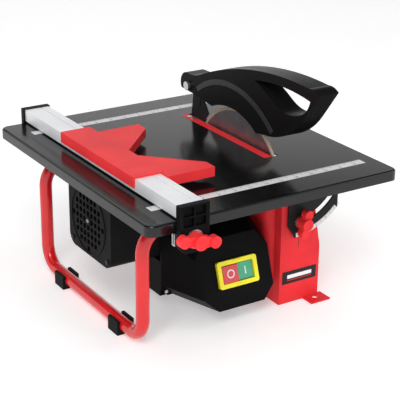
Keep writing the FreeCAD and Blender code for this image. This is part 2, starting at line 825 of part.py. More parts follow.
keep("cutting_blade", cutting_blade())
keep("inner_flange", inner_flange())
keep("outer_flange", outer_flange())
keep("arbor_nut", arbor_nut())


# --- switch box ------------------------------------------------------------------------------

def octagon(y, left, right, low, high, chamfer):
    """A wire across the box with its corners cut off."""
    corners = [(left + chamfer, low), (right - chamfer, low), (right, low + chamfer),
               (right, high - chamfer), (right - chamfer, high), (left + chamfer, high),
               (left, high - chamfer), (left, low + chamfer)]
    points = [Vector(x, y, z) for x, z in corners]
    return Part.makePolygon(points + points[:1])


def face_placement(outward=0.0):
    """The frame of the front face: X to the right, Y up the face and Z out of it."""
    lean = math.radians(float(s.box_slant))
    top_drop = float(s.box_front - s.box_back) * float(s.box_top_taper)
    middle_z = (float(s.box_bottom) + float(s.box_top) - top_drop) / 2
    middle_y = -float(s.box_front) - (float(s.box_face_height) - middle_z) * math.tan(lean)
    middle = Vector(-float(s.switch_middle), middle_y, middle_z)
    normal = Vector(0, -math.cos(lean), math.sin(lean))
    return Placement(middle + normal * outward, Rotation(Vector(1, 0, 0), 90 - float(s.box_slant)))


def hood(inset):
    """The cover's tapered body, cut off by the slanting front face."""
    gap, chamfer = float(inset), float(s.box_chamfer)
    back, front = -float(s.box_back), -float(s.box_front) - 25
    depth = back - front
    left, right = -float(s.box_left) + gap, -float(s.box_right) - gap
    low, high = float(s.box_bottom) + gap, float(s.box_top) - gap
    wires = [
        octagon(back, left, right, low, high, chamfer),
        octagon(front, left + depth * float(s.box_side_taper), right, low,
                high - depth * float(s.box_top_taper), chamfer),
    ]
    body = Part.makeLoft(wires, True, True)
    behind = Part.makeBox(400, 400, 400, Vector(-200, -200, -400))
    behind.Placement = face_placement(-gap)
    return body.common(behind)


def switch_box_cover():
    """Tapered hood with the opening for the switch."""
    width = float(s.switch_width - s.switch_rim * 2) + 2
    height = float(s.switch_height - s.switch_rim * 2) + 2
    opening = Part.makeBox(width, height, 20, Vector(-width / 2, -height / 2, -15))
    opening.Placement = face_placement().multiply(opening.Placement)
    return solid_feature(hood(size(0)).cut(hood(s.box_wall)).cut(opening))


def terminal_box():
    """Back panel of the switch box and the compartment under the motor."""
    wall = float(s.box_wall)
    back = -float(s.box_back)
    outline = octagon(back, -float(s.box_left), -float(s.box_right), float(s.box_bottom),
                      float(s.box_top), float(s.panel_chamfer))
    panel = Part.Face(outline).extrude(Vector(0, wall, 0))
    width = float(s.box_left - s.box_right)
    depth, height = float(s.terminal_depth), float(s.terminal_top - s.box_bottom)
    corner = Vector(-float(s.box_left), back + wall, float(s.box_bottom))
    outside = Part.makeBox(width, depth, height, corner)
    inside = Part.makeBox(width - 2 * wall, depth, height - 2 * wall,
                          corner + Vector(wall, -wall, wall))
    shape = panel.fuse(outside.cut(inside))
    margin, rim = float(s.box_chamfer), float(s.window_rim)
    window = Part.makeBox(width - 2 * margin, wall * 2, height - 2 * rim,
                          corner + Vector(margin, -wall * 1.5, rim))
    gland = Vector(-float(s.gland_left), back + depth, float(s.gland_rise))
    gland_hole = Part.makeCylinder(float(s.gland_radius + s.gland_play), wall * 3, gland,
                                   Vector(0, 1, 0))
    return solid_feature(shape.cut(window).cut(gland_hole).removeSplitter())


def cable_gland():
    """Gland in the back wall of the terminal box, where the mains lead would enter."""
    wall_end = s.terminal_depth + s.box_wall - s.box_back
    across, rise = -s.gland_left, s.gland_rise
    neck_start = wall_end - s.box_wall
    length = s.box_wall + s.gland_collar + s.gland_nose
    collar = hexagon("Y", (across, wall_end, rise), s.gland_collar, s.gland_flats)
    nose = rod("Y", (across, wall_end + s.gland_collar, rise), s.gland_nose, s.gland_nose_radius)
    neck = rod("Y", (across, neck_start, rise), s.box_wall, s.gland_radius)
    bore = rod("Y", (across, neck_start, rise), length, s.gland_bore)
    return cut(fuse(collar, nose, neck), bore)


def run_capacitor():
    """Capacitor lying in the terminal box."""
    start = (-s.capacitor_left, -s.capacitor_front, s.gland_rise)
    return rod("X", start, s.capacitor_length, s.capacitor_radius)


def switch_frame():
    """Yellow frame on the front face."""
    width, height, depth = float(s.switch_width), float(s.switch_height), float(s.switch_depth)
    rim = float(s.switch_rim)
    block = Part.makeBox(width, height, depth, Vector(-width / 2, -height / 2, 0))
    corners = [edge for edge in block.Edges if edge.BoundBox.ZLength > depth / 2]
    block = block.makeFillet(3, corners)
    opening = Part.makeBox(width - 2 * rim, height - 2 * rim, depth,
                           Vector(rim - width / 2, rim - height / 2, 0))
    return solid_feature(block.cut(opening), face_placement())


def switch_button(side, proud):
    """A push button on one side of the switch; it slides into the switch body."""
    gap, rim = float(s.button_gap), float(s.switch_rim)
    width = float(s.switch_width) / 2 - rim - 1.5 * gap
    height = float(s.switch_height) - 2 * rim - 2 * gap
    start = gap / 2 if side > 0 else -gap / 2 - width
    block = Part.makeBox(width, height, float(s.button_depth) + proud,
                         Vector(start, -height / 2, -float(s.button_depth)))
    top = [edge for edge in block.Edges if edge.BoundBox.ZMin > 0]
    return solid_feature(block.makeFillet(1, top), face_placement())


def switch_body():
    """Block behind the face that holds the contacts, with a well for each button."""
    gap, rim, wall = float(s.button_gap), float(s.switch_rim), 1.5
    width, height = float(s.switch_width) - 2 * rim + 1, float(s.switch_height) - 2 * rim + 1
    depth = float(s.switch_body_depth)
    block = Part.makeBox(width, height, depth, Vector(-width / 2, -height / 2, -depth))
    well_depth = float(s.button_depth + s.button_travel) + gap
    well = Part.makeBox(width - wall, height - wall, well_depth,
                        Vector((wall - width) / 2, (wall - height) / 2, -well_depth))
    return solid_feature(block.cut(well), face_placement())


def switch_box_screws():
    """Four screws on the panel's corners, midway between its edge and the cover's."""
    inset = (s.panel_chamfer + s.box_chamfer) / 4
    front = -s.box_back - s.cover_screw_height
    screws = []
    for x in (inset - s.box_left, -s.box_right - inset):
        for z in (s.box_bottom + inset, s.box_top - inset):
            screws.append(rod("Y", (x, front, z), s.cover_screw_height, s.cover_screw_radius))
    return group(*screws)


keep("switch_box_cover", switch_box_cover())
keep("terminal_box", terminal_box())
keep("cable_gland", cable_gland())
keep("run_capacitor", run_capacitor())
keep("switch_frame", switch_frame())
keep("switch_body", switch_body())
keep("stop_button", switch_button(-1, 4.5))
keep("start_button", switch_button(1, 2.0))
keep("switch_box_screws", switch_box_screws())


# --- riving knife and blade guard ------------------------------------------------------------

KNIFE_BOLT_Y = s.knife_rear - 6.5
KNIFE_BOLTS = (s.knife_bottom + 6, s.knife_bottom + 16)


def riving_knife():
    """Steel plate behind the blade; its front edge follows the blade."""
    rise, back = s.table_top, s.knife_rear
    corners = (
        (back - 21, s.knife_bottom), (back, s.knife_bottom), (back, rise), (back - 4, rise + 29),
        (back - 4, rise + 47), (back - 8, rise + 51), (back - 16, rise + 51), (back - 20, rise + 47),
        (back - 25, rise + 29), (s.blade_radius * 0.74, rise + 11), (s.blade_radius * 0.67, rise),
    )
    holes = [(KNIFE_BOLT_Y, z, s.bolt_radius + s.bolt_gap) for z in KNIFE_BOLTS]
    holes.append((s.guard_pivot_back, PIVOT_Z, s.guard_bolt_radius + s.bolt_gap))
    body = plate("YZ_Plane", -s.knife_thick / 2, s.knife_thick, corners, holes)
    clearance = rod("X", (-s.knife_thick, 0, ARBOR_Z), s.knife_thick * 2,
                    s.blade_radius + s.knife_gap)
    slot = box((-s.knife_thick, back - 22, rise + 15), (s.knife_thick, back - 19, rise + 25))
    return cut(body, clearance, slot)


def knife_bracket():
    """Angle between the riving knife and the rear column."""
    inner = COLUMN_FACE - s.column_sheet
    side, low, high = s.knife_thick / 2, s.knife_bottom, s.knife_bottom + 22
    on_knife = box((side, s.knife_rear - 12, low), (side + 2, inner, high))
    on_column = box((side, inner - 2, low), (side + 17, inner, high))
    holes = [rod("X", (side, KNIFE_BOLT_Y, z), 2, s.bolt_radius + s.bolt_gap) for z in KNIFE_BOLTS]
    return cut(fuse(on_knife, on_column), *holes)


def knife_bolts():
    side = s.knife_thick / 2
    bolts = []
    for z in KNIFE_BOLTS:
        bolts.append(fuse(rod("X", (-side - 3, KNIFE_BOLT_Y, z), 3, 4.5),
                          rod("X", (-side, KNIFE_BOLT_Y, z), s.knife_thick + 2, s.bolt_radius),
                          hexagon("X", (side + 2, KNIFE_BOLT_Y, z), 4, 8)))
    return group(*bolts)


def guard_outline(grow=0.0):
    """Side view of the guard; a positive amount moves every edge outwards."""
    rise, arbor = float(s.table_top), float(ARBOR_Z)
    edge = float(s.blade_radius) + 5

    def over_blade(y):
        return Vector(0, y, arbor + math.sqrt(edge ** 2 - y ** 2))

    def over_table(y, z):
        return Vector(0, y, rise + z)

    def arc(*corners):
        return Part.Arc(*(over_table(y, z) for y, z in corners)).toShape()

    def line(start, end):
        return Part.LineSegment(over_table(*start), over_table(*end)).toShape()

    boss_top, boss_low, heel = (101, 57), (109.5, 36), (74, 34)
    neck, shoulder, tip, chin = (88, 57.5), (66, 62.5), (-148, 100.8), (-166, 97)
    jaw, sole = (-142, 65.5), (-70, 26)
    edges = [
        arc(neck, (76, 59), shoulder),
        arc(shoulder, (-42, 95), tip),
        arc(tip, (-160, 100), chin),
        line(chin, jaw),
        arc(jaw, (-110, 37.5), sole),
        Part.LineSegment(over_table(*sole), over_blade(-52)).toShape(),
        Part.Arc(over_blade(-52), over_blade(0), over_blade(40)).toShape(),
        Part.LineSegment(over_blade(40), over_table(*heel)).toShape(),
        line(heel, boss_low),
        arc(boss_low, (111, 47), boss_top),
        line(boss_top, neck),
    ]
    face = Part.Face(Part.Wire(edges))
    return face.makeOffset2D(grow) if grow else face


def handle_hole(grow=0.0):
    """The finger opening under the guard's handle."""
    rise = float(s.table_top)
    stops = ((-48, 84.5), (-66, 77.5), (-86, 68), (-110, 62), (-132, 66.5), (-145, 75), (-151, 87),
             (-112, 90.5), (-48, 84.5))
    points = [Vector(0, y, rise + z) for y, z in stops]
    edges = [Part.Arc(*points[start:start + 3]).toShape() for start in (0, 2, 4, 6)]
    face = Part.Face(Part.Wire(edges))
    return face.makeOffset2D(grow) if grow else face


def guard_half(side):
    """One moulded half of the guard, hollow inside, with a boss for its bolt."""
    half, wall = float(s.guard_width) / 2, float(s.guard_wall)
    reach = Vector(side * half, 0, 0)
    solid = guard_outline().extrude(reach).cut(handle_hole().extrude(reach))
    inner = Vector(side * (half - wall), 0, 0)
    hollow = guard_outline(-wall).extrude(inner).cut(handle_hole(wall).extrude(inner))
    arbor = Vector(-(half - wall), 0, float(ARBOR_Z))
    blade_space = Part.makeCylinder(float(s.blade_radius) + 5 + wall, 2 * (half - wall), arbor,
                                    Vector(1, 0, 0))
    slot_half = float(s.knife_thick) / 2 + 0.8
    pivot = Vector(0, float(s.guard_pivot_back), float(PIVOT_Z))
    boss = Part.makeCylinder(7, half - wall - slot_half, pivot + Vector(side * slot_half, 0, 0),
                             Vector(side, 0, 0))
    knife_slot = Part.makeBox(2 * slot_half, 60, 30, Vector(-slot_half, 54, pivot.z - 28))
    bolt_hole = Part.makeCylinder(float(s.guard_bolt_radius + s.bolt_gap), 2 * half + 2,
                                  pivot - Vector(half + 1, 0, 0), Vector(1, 0, 0))
    shape = solid.cut(hollow).cut(blade_space).fuse(boss).cut(knife_slot).cut(bolt_hole)
    return solid_feature(shape)


def guard_bolt():
    """Bolt through the guard and the riving knife."""
    half = s.guard_width / 2
    pivot_y = s.guard_pivot_back
    return fuse(rod("X", (-half - 4, pivot_y, PIVOT_Z), 4 - s.running_gap, 5.5),
                rod("X", (-half - 1, pivot_y, PIVOT_Z), s.guard_width + 2, s.guard_bolt_radius),
                hexagon("X", (half + s.running_gap, pivot_y, PIVOT_Z), 5, 10))


keep("riving_knife", riving_knife())
keep("knife_bracket", knife_bracket())
keep("knife_bolts", knife_bolts())
keep("guard_left_half", guard_half(-1))
keep("guard_right_half", guard_half(1))
keep("guard_bolt", guard_bolt())


# --- table -----------------------------------------------------------------------------------

RULE_LEFT = s.rule_margin - s.table_left
RULE_Y = s.table_depth / 2 - s.rule_inset - s.rule_width / 2
INSERT_LEFT = 0.2 - s.slot_left


def table_pan(inset, bottom, top):
    """The table's rounded plan between two heights, moved inwards by an inset."""
    block = box((inset - s.table_left, inset - s.table_depth / 2, bottom),
                (TABLE_RIGHT - inset, s.table_depth / 2 - inset, top))
    return rounded(block, s.table_corner - inset, along("Z"))


def table_plate():
    """Pressed table with folded rims, the blade slot and two recesses for the rules."""
    bottom = s.table_top - s.table_drop
    outside = rounded(table_pan(size(0), bottom, s.table_top), size(2.5), at_height(s.table_top))
    inside = table_pan(s.table_sheet, bottom, TABLE_UNDER)
    slot = box((-s.slot_left, -s.slot_front, TABLE_UNDER), (s.slot_right, s.slot_rear, s.table_top))
    recesses = [box((RULE_LEFT, y - s.rule_width / 2, s.table_top - s.rule_depth),
                    (RULE_LEFT + s.rule_length, y + s.rule_width / 2, s.table_top))
                for y in (-RULE_Y, RULE_Y)]
    return cut(outside, inside, slot, *recesses)


def table_rule(y):
    """Printed strip, with a break where the blade slot runs through it."""
    gap, low = 0.1, s.table_top - s.rule_depth
    strip = box((RULE_LEFT + gap, y - s.rule_width / 2 + gap, low),
                (RULE_LEFT + s.rule_length - gap, y + s.rule_width / 2 - gap, s.table_top - gap))
    slot = box((-s.slot_left, -s.slot_front, low), (s.slot_right, s.slot_rear, s.table_top))
    return cut(strip, slot)


def table_insert():
    """Strip on the left of the blade with a lip under the table."""
    front, rear = 2 - s.slot_front, s.slot_rear - 0.4
    strip = box((INSERT_LEFT, front, s.table_top - s.insert_height),
                (INSERT_LEFT + s.insert_width, rear, s.table_top + 0.3))
    lip = box((INSERT_LEFT - s.insert_lip, front, TABLE_UNDER - 2),
              (INSERT_LEFT + 2, rear, TABLE_UNDER))
    return fuse(strip, lip)


def insert_screws():
    middle = INSERT_LEFT + s.insert_width / 2
    return group(*[rod("Z", (middle, s.slot_rear - back, s.table_top + 0.3), 0.9, 3.2)
                   for back in (11, 20)])


def bevel_bracket():
    """Plate under the front of the table with the curved slot for the clamping bolt."""
    back = -BRACKET_BACK
    low = s.table_top - s.bracket_radius - 5
    corners = (
        (-s.bracket_left, TABLE_UNDER), (-s.bracket_left, s.table_top - s.bracket_radius * 0.83),
        (s.bracket_left / 2, s.table_top - s.bracket_radius * 0.99), (s.bracket_left / 2, low),
        (s.bracket_right, low), (s.bracket_right, TABLE_UNDER),
    )
    sheet_part = plate("XZ_Plane", -back, s.bracket_sheet, corners)
    disc = rod("Y", (0, back - s.bracket_sheet * 2, s.table_top), s.bracket_sheet * 3,
               s.bracket_radius)
    slot = sector_slot(s.bolt_circle, s.bolt_radius * 2 + s.bolt_gap * 2, s.bolt_angle,
                       s.tilt_limit, back + 1, s.bracket_sheet + 2)
    fold = box((-s.bracket_left, back - s.bracket_fold, TABLE_UNDER - s.bracket_sheet),
               (s.bracket_right, back, TABLE_UNDER))
    return fuse(cut(common(sheet_part, disc), slot), fold)


def tilt_scale():
    """Curved scale on the face of the front bracket."""
    start = math.radians(-87)
    turn = Rotation(Vector(math.cos(start), 0, math.sin(start)),
                    Vector(-math.sin(start), 0, math.cos(start)), Vector(0, -1, 0))
    outer_radius = s.bracket_radius - 0.5
    sectors = []
    for reach in (outer_radius, outer_radius - s.tilt_rule_width):
        sector = doc.addObject("Part::Cylinder", "Sector")
        bind(sector, "Radius", reach)
        bind(sector, "Height", 0.5)
        sector.Angle = 42
        sectors.append(place(sector, (0, -BRACKET_BACK - s.bracket_sheet, s.table_top), turn))
    return cut(*sectors)


WASHER_FACE = BRACKET_BACK + s.bracket_sheet + s.running_gap


def bevel_bolt():
    """Coach bolt through the front column, with its washer in front of the bracket."""
    inner = COLUMN_FACE - s.column_sheet
    head = rod("Y", (BOLT_X, -inner, BOLT_Z), 3, 6.5)
    stem = rod("Y", (BOLT_X, -WASHER_FACE - 11, BOLT_Z), WASHER_FACE + 11 - inner, s.bolt_radius)
    washer = ring("Y", (BOLT_X, -WASHER_FACE - 1.6, BOLT_Z), 1.6, 8.5, s.bolt_radius)
    return group(fuse(head, stem), washer)


def wing_knob(x, face, z, hub_radius, spread, upright):
    """Two-winged knob that faces the front, with a blind bore from behind."""
    depth = 13
    start = -face - depth
    hub = rod("Y", (x, start, z), depth, hub_radius)
    lobe_depth = depth * 0.62
    lobes = []
    for side in (-1, 1):
        across = (spread * 0.2 * side, spread * side) if upright else (spread * side, spread * -0.2 * side)
        lobes.append(rod("Y", (x + across[0], start + 2, z + across[1]), lobe_depth, hub_radius * 0.8))
        web = (x + across[0] / 2, start + 3, z + across[1] / 2)
        lobes.append(rod("Y", web, lobe_depth - 1, hub_radius * 0.72))
    bore = rod("Y", (x, start + 3, z), depth - 3, s.bolt_radius + s.running_gap)
    return cut(fuse(hub, *lobes), bore)


def bevel_knob():
    return wing_knob(BOLT_X, WASHER_FACE + 1.6 + s.running_gap, BOLT_Z, size(7), size(11), True)


keep("table_plate", table_plate())
keep("front_rule", table_rule(-RULE_Y))
keep("rear_rule", table_rule(RULE_Y))
keep("table_insert", table_insert())
keep("insert_screws", insert_screws())
keep("front_bevel_bracket", bevel_bracket())
keep("rear_bevel_bracket", mirrored_in_y(parts["front_bevel_bracket"]))
keep("tilt_scale", tilt_scale())
keep("front_bevel_bolt", bevel_bolt())
keep("rear_bevel_bolt", mirrored_in_y(parts["front_bevel_bolt"]))
keep("front_bevel_knob", bevel_knob())
keep("rear_bevel_knob", mirrored_in_y(parts["front_bevel_knob"]))


# --- fence -----------------------------------------------------------------------------------

CLAMP_BACK = s.table_depth / 2 + 0.4
CLAMP_FRONT = larger(CLAMP_BACK, FENCE_END) + s.clamp_thick
CLAMP_TOP = FENCE_TOP + 1


def fence_rail():
    """Hollow aluminium extrusion with a web and a sight groove on its top."""
    half, wall = s.fence_length / 2, s.fence_wall
    web_x = s.fence_width * 0.34 - s.fence_left + s.fence_width / 3
    outside = box((-s.fence_left, -half, FENCE_BOTTOM), (-FENCE_RIGHT, half, FENCE_TOP))
    left_hollow = box((wall - s.fence_left, -half, FENCE_BOTTOM + wall),
                      (web_x - wall / 2, half, FENCE_TOP - wall))
    right_hollow = box((web_x + wall / 2, -half, FENCE_BOTTOM + wall),
                       (-FENCE_RIGHT - wall, half, FENCE_TOP - wall))
    groove = box((web_x - 0.6, -half, FENCE_TOP - 0.9), (web_x + 0.6, half, FENCE_TOP))
    return cut(outside, left_hollow, right_hollow, groove)


def fence_clamp():
    """Front clamp: a block on the rail's end with a wall that hangs over the rim.

    Where the rail is longer than the table, the block reaches out to its end and wraps it.
    """
    half = s.clamp_width / 2
    left, right = -FENCE_MIDDLE - half, half - FENCE_MIDDLE
    chamfer = s.clamp_width / 5
    corners = (
        (left, CLAMP_TOP), (left, s.clamp_bottom + chamfer), (left + chamfer, s.clamp_bottom),
        (right - chamfer, s.clamp_bottom), (right, s.clamp_bottom + chamfer), (right, CLAMP_TOP),
    )
    wall = plate("XZ_Plane", CLAMP_BACK, CLAMP_FRONT - CLAMP_BACK, corners,
                 [(-FENCE_MIDDLE, s.clamp_knob_height, s.bolt_radius + s.running_gap)])
    top = box((left, -CLAMP_FRONT, s.table_top + 0.4),
              (right, -smaller(CLAMP_BACK, FENCE_END), CLAMP_TOP))
    rail = box((-s.fence_left, -FENCE_END, FENCE_BOTTOM), (-FENCE_RIGHT, 0, FENCE_TOP))
    pockets = []
    width, height = s.clamp_width * 0.34, (CLAMP_TOP - s.table_top) * 0.55
    for column in (-1, 0):
        for line in (0, 1):
            x = column * width - FENCE_MIDDLE + (column * 2 + 1) * 1
            z = CLAMP_TOP - 2.5 - height - line * (height + 2)
            pockets.append(box((x, -CLAMP_FRONT, z), (x + width, 3 - CLAMP_FRONT, z + height)))
    return cut(fuse(wall, top), rail, *pockets)


def clamp_hook():
    """J-shaped hook that the screw pulls against the back of the rim, and its washer."""
    sheet_thick, low = s.hook_sheet, s.clamp_knob_height - 6.5
    left, right = -FENCE_MIDDLE - s.hook_width / 2, s.hook_width / 2 - FENCE_MIDDLE
    rim_inner = s.table_depth / 2 - s.table_sheet
    front = sheet_thick * 0.1 - CLAMP_BACK
    tail = 1.8 - rim_inner
    front_leg = box((left, front, low), (right, front + sheet_thick, low + 13))
    floor = box((left, front, low), (right, tail + sheet_thick, low + sheet_thick))
    rear_leg = box((left, tail, low), (right, tail + sheet_thick, s.table_top - s.table_drop + 6))
    hole = rod("Y", (-FENCE_MIDDLE, front, s.clamp_knob_height), sheet_thick,
               s.bolt_radius + s.running_gap)
    washer = ring("Y", (-FENCE_MIDDLE, -CLAMP_FRONT - 1, s.clamp_knob_height), 1, 10,
                  s.bolt_radius + s.running_gap)
    return group(cut(fuse(front_leg, floor, rear_leg), hole), washer)


def clamp_knob():
    """Wing knob with its screw, which reaches through the clamp into the hook."""
    face = CLAMP_FRONT + 1 + s.running_gap
    knob = wing_knob(-FENCE_MIDDLE, face, s.clamp_knob_height, size(8), size(18), False)
    screw = rod("Y", (-FENCE_MIDDLE, -face - 10, s.clamp_knob_height),
                face + 10 - CLAMP_BACK + s.hook_sheet + 1, s.bolt_radius)
    seat = rod("Y", (-FENCE_MIDDLE, -face - 10, s.clamp_knob_height), 10,
               s.bolt_radius + s.running_gap)
    return fuse(knob, seat, screw)


def angle_guide():
    """Saddle that slides on the fence, with two wings that leave a V between them."""
    gap, wall = s.running_gap, s.guide_wall
    top = FENCE_TOP + gap + wall
    wing_top = top - 1
    wing_bottom = wing_top - s.guide_thick
    side = gap - FENCE_RIGHT
    shoulder = side + wall * 2
    middle, root, half = -s.guide_middle, s.guide_root, s.guide_half_span
    tip_inner = half - s.guide_tip
    corners = (
        (side, middle - half), (-s.guide_reach, middle - half), (-s.guide_reach, middle - tip_inner),
        (shoulder + wall, middle - root), (shoulder, middle - root), (shoulder, middle + root),
        (shoulder + wall, middle + root), (-s.guide_reach, middle + tip_inner),
        (-s.guide_reach, middle + half), (side, middle + half),
    )
    wings = plate("XY_Plane", wing_bottom, s.guide_thick, corners)
    left = -s.fence_left - gap - wall
    roof = box((left, -s.guide_front, FENCE_TOP + gap), (shoulder, s.guide_rear, top))
    left_skirt = box((left, -s.guide_front, wing_bottom), (left + wall, s.guide_rear, top))
    right_skirt = box((side, -s.guide_front, wing_bottom), (shoulder, s.guide_rear, top))
    return fuse(wings, roof, left_skirt, right_skirt)


keep("fence_rail", fence_rail())
keep("front_fence_clamp", fence_clamp())
keep("rear_fence_clamp", mirrored_in_y(parts["front_fence_clamp"]))
keep("front_clamp_hook", clamp_hook())
keep("rear_clamp_hook", mirrored_in_y(parts["front_clamp_hook"]))
keep("front_clamp_knob", clamp_knob())
keep("rear_clamp_knob", mirrored_in_y(parts["front_clamp_knob"]))
keep("angle_guide", angle_guide())


# --- check and export ------------------------------------------------------------------------

doc.recompute()
faults = [item.Label for item in doc.Objects if {"Invalid", "Error"} & set(item.State)]
faults += [node for node, item in parts.items() if item.Shape.isNull() or not item.Shape.isValid()]
if faults:
    raise RuntimeError("These objects failed: " + ", ".join(faults))

os.makedirs("parts", exist_ok=True)
for node, item in parts.items():
    item.Shape.exportStep(f"parts/{node}.step")
print(len(parts), "sub-parts written")
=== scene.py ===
import json
import math

import bmesh
import bpy
from mathutils import Matrix, Vector


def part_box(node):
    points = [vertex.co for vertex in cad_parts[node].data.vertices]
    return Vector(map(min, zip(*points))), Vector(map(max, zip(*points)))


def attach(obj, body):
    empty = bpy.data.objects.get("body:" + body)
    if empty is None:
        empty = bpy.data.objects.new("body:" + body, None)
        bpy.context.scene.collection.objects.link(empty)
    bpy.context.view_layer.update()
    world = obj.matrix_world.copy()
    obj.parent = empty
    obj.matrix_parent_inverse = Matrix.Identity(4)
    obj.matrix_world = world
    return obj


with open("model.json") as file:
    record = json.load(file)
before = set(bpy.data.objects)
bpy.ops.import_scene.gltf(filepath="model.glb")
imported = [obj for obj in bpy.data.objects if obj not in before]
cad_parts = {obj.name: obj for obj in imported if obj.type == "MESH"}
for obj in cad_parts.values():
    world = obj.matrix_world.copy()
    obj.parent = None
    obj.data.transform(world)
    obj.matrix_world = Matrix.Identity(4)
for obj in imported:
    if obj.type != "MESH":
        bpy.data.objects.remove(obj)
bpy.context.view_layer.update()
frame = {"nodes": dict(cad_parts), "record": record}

# Looks of the bench tile cutter. Lengths are metres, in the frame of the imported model:
# X to the right, Y to the back and Z up, with the origin on the bench under the blade.
# Each piece made here rides on a body of the model; the model's own nodes get materials only.

MM = 0.001

# --- places that follow from the model ---------------------------------------------------------


def middle(node):
    low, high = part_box(node)
    return (low + high) / 2


BLADE_LOW, BLADE_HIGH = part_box("cutting_blade")
ARBOR = middle("cutting_blade")
BLADE_RADIUS = (BLADE_HIGH.z - BLADE_LOW.z) / 2
TABLE_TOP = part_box("table_plate")[1].z
GUARD_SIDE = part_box("guard_right_half")[1].x
SWITCH_LEAN = math.radians(18.5)
SWITCH_UP = Vector((0, math.sin(SWITCH_LEAN), math.cos(SWITCH_LEAN)))
SWITCH_OUT = Vector((0, -math.cos(SWITCH_LEAN), math.sin(SWITCH_LEAN)))
RIGHT = Vector((1, 0, 0))
BACK = Vector((0, 1, 0))
UP = Vector((0, 0, 1))

# --- materials ---------------------------------------------------------------------------------


class Nodes:
    """Short calls for building one material's node tree."""

    def __init__(self, name):
        self.material = bpy.data.materials.new(name)
        self.material.use_nodes = True
        self.tree = self.material.node_tree
        self.shader = self.tree.nodes["Principled BSDF"]
        self.place = self.add("ShaderNodeTexCoord").outputs["Object"]

    def add(self, kind, **settings):
        node = self.tree.nodes.new(kind)
        for key, value in settings.items():
            setattr(node, key, value)
        return node

    def link(self, source, target):
        self.tree.links.new(source, target)

    def stretched(self, scale):
        mapping = self.add("ShaderNodeMapping")
        mapping.inputs["Scale"].default_value = scale
        self.link(self.place, mapping.inputs["Vector"])
        return mapping.outputs["Vector"]

    def noise(self, scale, detail=4.0, stretch=(1, 1, 1)):
        node = self.add("ShaderNodeTexNoise")
        node.inputs["Scale"].default_value = scale
        node.inputs["Detail"].default_value = detail
        self.link(self.stretched(stretch), node.inputs["Vector"])
        return node.outputs["Fac"]

    def spread(self, value, low, high, start=0.3, end=0.7):
        node = self.add("ShaderNodeMapRange")
        self.link(value, node.inputs["Value"])
        settings = {"From Min": start, "From Max": end, "To Min": low, "To Max": high}
        for key, amount in settings.items():
            node.inputs[key].default_value = amount
        return node.outputs["Result"]

    def mix(self, factor, first, second):
        node = self.add("ShaderNodeMix", data_type="RGBA")
        self.link(factor, node.inputs["Factor"])
        for socket, colour in ((node.inputs["A"], first), (node.inputs["B"], second)):
            if isinstance(colour, tuple):
                socket.default_value = (*colour, 1)
            else:
                self.link(colour, socket)
        return node.outputs["Result"]

    def bump(self, height, distance, strength=0.5):
        node = self.add("ShaderNodeBump")
        node.inputs["Distance"].default_value = distance
        node.inputs["Strength"].default_value = strength
        self.link(height, node.inputs["Height"])
        self.link(node.outputs["Normal"], self.shader.inputs["Normal"])

    def edges(self):
        """High where the surface is a convex edge."""
        pointiness = self.add("ShaderNodeNewGeometry").outputs["Pointiness"]
        return self.spread(pointiness, 0.0, 1.0, EDGE_START, EDGE_END)


def shade(colour, factor):
    return tuple(min(1.0, channel * factor) for channel in colour)


# convex edges, as Pointiness, from untouched to fully worn
EDGE_START, EDGE_END = 0.53, 0.60
CLOUD_SCALE = 22
WORN_PALE = 0.35


def finish(name, colour, roughness, grain=900, depth=0.02, vary=0.12, wear=0.03, stretch=(1, 1, 1),
           **uniform):
    """A surface with cloudy colour, fine grain, uneven gloss and lighter worn edges.

    The depth of the grain is in millimetres. Further keywords set the shader's sockets.
    """
    nodes = Nodes(name)
    cloud = nodes.noise(CLOUD_SCALE, 3)
    fine = nodes.noise(grain, 5, stretch)
    base = nodes.mix(nodes.spread(cloud, 0, 1), shade(colour, 1 - vary), shade(colour, 1 + vary))
    worn = nodes.spread(nodes.edges(), 0.0, wear, 0, 1)
    pale = tuple(channel + (1 - channel) * WORN_PALE for channel in colour)
    nodes.link(nodes.mix(worn, base, pale), nodes.shader.inputs["Base Color"])
    gloss = nodes.spread(fine, roughness * 0.82, min(1.0, roughness * 1.22))
    nodes.link(gloss, nodes.shader.inputs["Roughness"])
    nodes.bump(fine, depth * MM)
    for key, value in uniform.items():
        nodes.shader.inputs[key.replace("_", " ")].default_value = value
    return nodes.material


def blade_steel():
    """Ground steel disc with faint rings about the arbor."""
    nodes = Nodes("blade_steel")
    offset = nodes.add("ShaderNodeVectorMath", operation="SUBTRACT")
    offset.inputs[1].default_value = (0, ARBOR.y, ARBOR.z)
    nodes.link(nodes.place, offset.inputs[0])
    flat = nodes.add("ShaderNodeVectorMath", operation="MULTIPLY")
    flat.inputs[1].default_value = (0, 1, 1)
    nodes.link(offset.outputs["Vector"], flat.inputs[0])
    radius = nodes.add("ShaderNodeVectorMath", operation="LENGTH")
    nodes.link(flat.outputs["Vector"], radius.inputs[0])
    rings = nodes.add("ShaderNodeTexNoise", noise_dimensions="1D")
    rings.inputs["Scale"].default_value = 1400
    nodes.link(radius.outputs["Value"], rings.inputs["W"])
    cloud = nodes.spread(nodes.noise(35, 3), 0, 1)
    colour = nodes.mix(cloud, (0.20, 0.19, 0.20), (0.29, 0.28, 0.29))
    nodes.link(colour, nodes.shader.inputs["Base Color"])
    nodes.link(nodes.spread(rings.outputs["Fac"], 0.24, 0.40), nodes.shader.inputs["Roughness"])
    nodes.bump(rings.outputs["Fac"], 0.02 * MM)
    nodes.shader.inputs["Metallic"].default_value = 0.85
    return nodes.material


